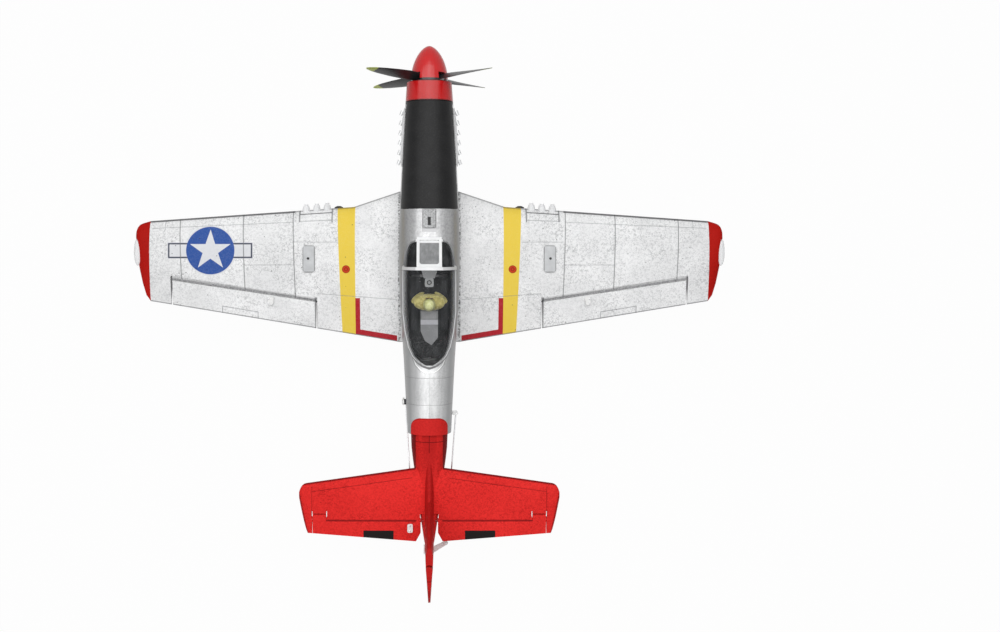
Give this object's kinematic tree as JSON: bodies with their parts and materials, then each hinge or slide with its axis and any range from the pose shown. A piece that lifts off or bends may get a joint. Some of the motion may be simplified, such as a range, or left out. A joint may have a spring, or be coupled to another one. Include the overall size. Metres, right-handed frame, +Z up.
{
  "type": "radio controlled foam aeroplane",
  "caption": "Low-wing foam model fighter with bubble canopy, belly scoop, working control surfaces and linkages, four-bladed propeller, fixed undercarriage with castering tail wheel.",
  "frame": {"origin": "centre of the whole object's box in plan, on the surface the three wheels stand on", "axes": "+Y towards the nose along the ground, +X towards the right wing tip, +Z up"},
  "size_m": [0.56, 0.5022, 0.1867],
  "materials": {
    "silver_foam": "satin foam",
    "white_foam": "beaded foam",
    "red_foam": "beaded foam",
    "tip_red": "beaded foam",
    "red_gloss": "gloss",
    "black_satin": "satin",
    "dark_plastic": "matt",
    "grey_plastic": "matt",
    "white_plastic": "matt",
    "silver_plastic": "satin",
    "clear_plastic": "clear",
    "pilot_paint": "painted",
    "servo_blue": "tinted",
    "battery_wrap": "wrapped",
    "board_green": "board",
    "carbon": "woven",
    "steel_wire": "drawn",
    "motor_metal": "turned",
    "tyre_rubber": "matt"
  },
  "bodies": {
    "airframe": {"fuselage_left": "silver_foam", "fuselage_right": "silver_foam", "tail_left": "red_foam", "tail_right": "red_foam", "cowl_ring": "red_gloss", "motor_mount": "white_plastic", "motor_stator": "dark_plastic", "exhaust_stacks": "silver_plastic", "windshield_frame": "white_plastic", "canopy_glass": "clear_plastic", "canopy_frame": "silver_plastic", "cockpit_tray": "dark_plastic", "instrument_panel": "grey_plastic", "pilot": "pilot_paint", "radio_box": "grey_plastic", "wing_left": "white_foam", "wing_right": "white_foam", "wing_spar": "carbon", "wing_tip_left": "tip_red", "wing_tip_right": "tip_red", "nav_lenses": "clear_plastic", "gun_fairings": "white_foam", "wing_covers": "grey_plastic", "belly_scoop": "silver_foam", "tailplane": "red_foam", "servos": "servo_blue", "battery": "battery_wrap", "flight_board": "board_green", "gear_legs": "silver_plastic", "rudder_hinges": "white_plastic"},
    "propeller": {"propeller": "black_satin", "spinner": "red_gloss", "spinner_backplate": "black_satin", "motor_rotor": "motor_metal"},
    "hatch": {"battery_hatch": "black_satin"},
    "latch": {"hatch_latch": "silver_plastic"},
    "aileron_left": {"aileron_left": "white_foam", "aileron_horn_left": "white_plastic"},
    "aileron_right": {"aileron_right": "white_foam", "aileron_horn_right": "white_plastic"},
    "elevator": {"elevator_left": "red_foam", "elevator_right": "red_foam", "elevator_joiner": "steel_wire", "elevator_horn": "white_plastic"},
    "rudder": {"rudder": "red_foam", "rudder_horn": "white_plastic"},
    "aileron_arm_left": {"aileron_arm_left": "white_plastic"},
    "aileron_arm_right": {"aileron_arm_right": "white_plastic"},
    "elevator_arm": {"elevator_arm": "white_plastic"},
    "rudder_arm": {"rudder_arm": "white_plastic"},
    "aileron_rod_left": {"aileron_rod_left": "steel_wire"},
    "aileron_rod_right": {"aileron_rod_right": "steel_wire"},
    "elevator_rod": {"elevator_rod": "steel_wire"},
    "rudder_rod": {"rudder_rod": "steel_wire"},
    "wheel_left": {"tyre_left": "tyre_rubber", "wheel_left": "silver_plastic"},
    "wheel_right": {"tyre_right": "tyre_rubber", "wheel_right": "silver_plastic"},
    "tail_fork": {"tail_fork": "silver_plastic"},
    "tail_wheel": {"tail_wheel": "tyre_rubber"}
  },
  "joints": [
    {"name": "prop_spin", "type": "hinge", "parent": "airframe", "child": "propeller", "pos_m": [0, 0.22128, 0.13224], "axis": [0, 0.9778, 0.2097], "continuous": true},
    {"name": "hatch_lift", "type": "slide", "parent": "airframe", "child": "hatch", "axis": [0, -0.2097, 0.9778], "range_m": [0, 0.04]},
    {"name": "latch_slide", "type": "slide", "parent": "airframe", "child": "latch", "axis": [0, -0.9778, -0.2097], "range_m": [0, 0.003]},
    {"name": "aileron_servo_right", "type": "hinge", "parent": "airframe", "child": "aileron_arm_right", "pos_m": [0.14491, 0.0596, 0.0763], "axis": [0.9817, 0.1494, 0.1184], "range_deg": [-25, 25]},
    {"name": "aileron_right_hinge", "type": "hinge", "parent": "airframe", "child": "aileron_right", "pos_m": [0.15, 0.02674, 0.06919], "axis": [0.9817, 0.1494, 0.1184], "range_deg": [-25, 25]},
    {"name": "aileron_rod_right_pin", "type": "hinge", "parent": "aileron_arm_right", "child": "aileron_rod_right", "pos_m": [0.1459, 0.06228, 0.06465], "axis": [0.9817, 0.1494, 0.1184], "range_deg": [-25, 25]},
    {"name": "aileron_servo_left", "type": "hinge", "parent": "airframe", "child": "aileron_arm_left", "pos_m": [-0.14491, 0.0596, 0.0763], "axis": [-0.9817, 0.1494, 0.1184], "range_deg": [-25, 25]},
    {"name": "aileron_left_hinge", "type": "hinge", "parent": "airframe", "child": "aileron_left", "pos_m": [-0.15, 0.02674, 0.06919], "axis": [-0.9817, 0.1494, 0.1184], "range_deg": [-25, 25]},
    {"name": "aileron_rod_left_pin", "type": "hinge", "parent": "aileron_arm_left", "child": "aileron_rod_left", "pos_m": [-0.1459, 0.06228, 0.06465], "axis": [-0.9817, 0.1494, 0.1184], "range_deg": [-25, 25]},
    {"name": "elevator_servo", "type": "hinge", "parent": "airframe", "child": "elevator_arm", "pos_m": [-0.0237, -0.07506, 0.06666], "axis": [1, 0, 0], "range_deg": [-25, 25]},
    {"name": "elevator_hinge", "type": "hinge", "parent": "airframe", "child": "elevator", "pos_m": [0, -0.18338, 0.05672], "axis": [1, 0, 0], "range_deg": [-25, 25]},
    {"name": "elevator_rod_pin", "type": "hinge", "parent": "elevator_arm", "child": "elevator_rod", "pos_m": [-0.0237, -0.07254, 0.05492], "axis": [1, 0, 0], "range_deg": [-25, 25]},
    {"name": "rudder_servo", "type": "hinge", "parent": "airframe", "child": "rudder_arm", "pos_m": [0.0095, -0.08504, 0.06554], "axis": [0, -0.2097, 0.9778], "range_deg": [-25, 25]},
    {"name": "rudder_hinge", "type": "hinge", "parent": "airframe", "child": "rudder", "pos_m": [0, -0.20454, 0.04094], "axis": [0, -0.2097, 0.9778], "range_deg": [-25, 25]},
    {"name": "rudder_rod_pin", "type": "hinge", "parent": "rudder_arm", "child": "rudder_rod", "pos_m": [0.025, -0.08504, 0.06554], "axis": [0, -0.2097, 0.9778], "range_deg": [-25, 25]},
    {"name": "wheel_left_spin", "type": "hinge", "parent": "airframe", "child": "wheel_left", "pos_m": [-0.093, 0.10822, 0.018], "axis": [1, 0, 0], "continuous": true},
    {"name": "wheel_right_spin", "type": "hinge", "parent": "airframe", "child": "wheel_right", "pos_m": [0.093, 0.10822, 0.018], "axis": [1, 0, 0], "continuous": true},
    {"name": "tail_fork_swivel", "type": "hinge", "parent": "airframe", "child": "tail_fork", "pos_m": [0, -0.15174, 0.05226], "axis": [0, -0.2097, 0.9778], "range_deg": [-30, 30]},
    {"name": "tail_wheel_spin", "type": "hinge", "parent": "tail_fork", "child": "tail_wheel", "pos_m": [0, -0.14818, 0.007], "axis": [1, 0, 0], "continuous": true}
  ],
  "couplings": [
    {"joint": "aileron_right_hinge", "follows": "aileron_servo_right", "ratio": 1},
    {"joint": "aileron_rod_right_pin", "follows": "aileron_servo_right", "ratio": -1},
    {"joint": "aileron_servo_left", "follows": "aileron_servo_right", "ratio": 1},
    {"joint": "aileron_left_hinge", "follows": "aileron_servo_right", "ratio": 1},
    {"joint": "aileron_rod_left_pin", "follows": "aileron_servo_right", "ratio": -1},
    {"joint": "elevator_hinge", "follows": "elevator_servo", "ratio": 1},
    {"joint": "elevator_rod_pin", "follows": "elevator_servo", "ratio": -1},
    {"joint": "rudder_hinge", "follows": "rudder_servo", "ratio": 1},
    {"joint": "rudder_rod_pin", "follows": "rudder_servo", "ratio": -1}
  ]
}
